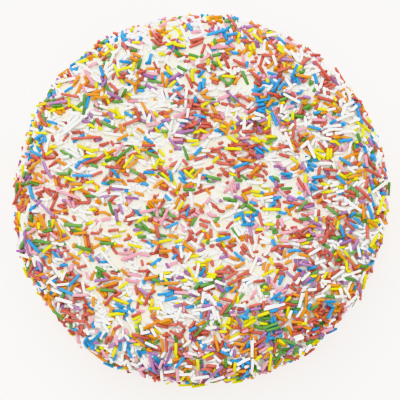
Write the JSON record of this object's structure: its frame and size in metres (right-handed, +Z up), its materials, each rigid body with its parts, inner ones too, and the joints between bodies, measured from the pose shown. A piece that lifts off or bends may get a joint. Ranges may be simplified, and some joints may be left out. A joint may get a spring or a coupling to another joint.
{
  "type": "birthday cake",
  "caption": "Whole round frosted birthday cake with a rounded top edge, coated all over in coloured sugar sprinkles, standing on its flat underside.",
  "frame": {"origin": "middle of the flat underside, at the height of the surface the cake stands on", "axes": "+Z up through the middle of the top; +Y towards the top edge of the picture, +X towards its right edge"},
  "size_m": [0.2079, 0.2037, 0.0762],
  "materials": {
    "frosting": "soft ivory buttercream, matte with a faint sheen, slightly uneven from the spatula",
    "sprinkle_white": "white sugar strand, matte with a soft sheen",
    "sprinkle_red": "red sugar strand, matte with a soft sheen",
    "sprinkle_orange": "orange sugar strand, matte with a soft sheen",
    "sprinkle_yellow": "yellow sugar strand, matte with a soft sheen",
    "sprinkle_green": "green sugar strand, matte with a soft sheen",
    "sprinkle_blue": "blue sugar strand, matte with a soft sheen",
    "sprinkle_purple": "purple sugar strand, matte with a soft sheen",
    "sprinkle_pink": "pink sugar strand, matte with a soft sheen"
  },
  "bodies": {
    "root": {"cake": "frosting"}
  },
  "joints": []
}
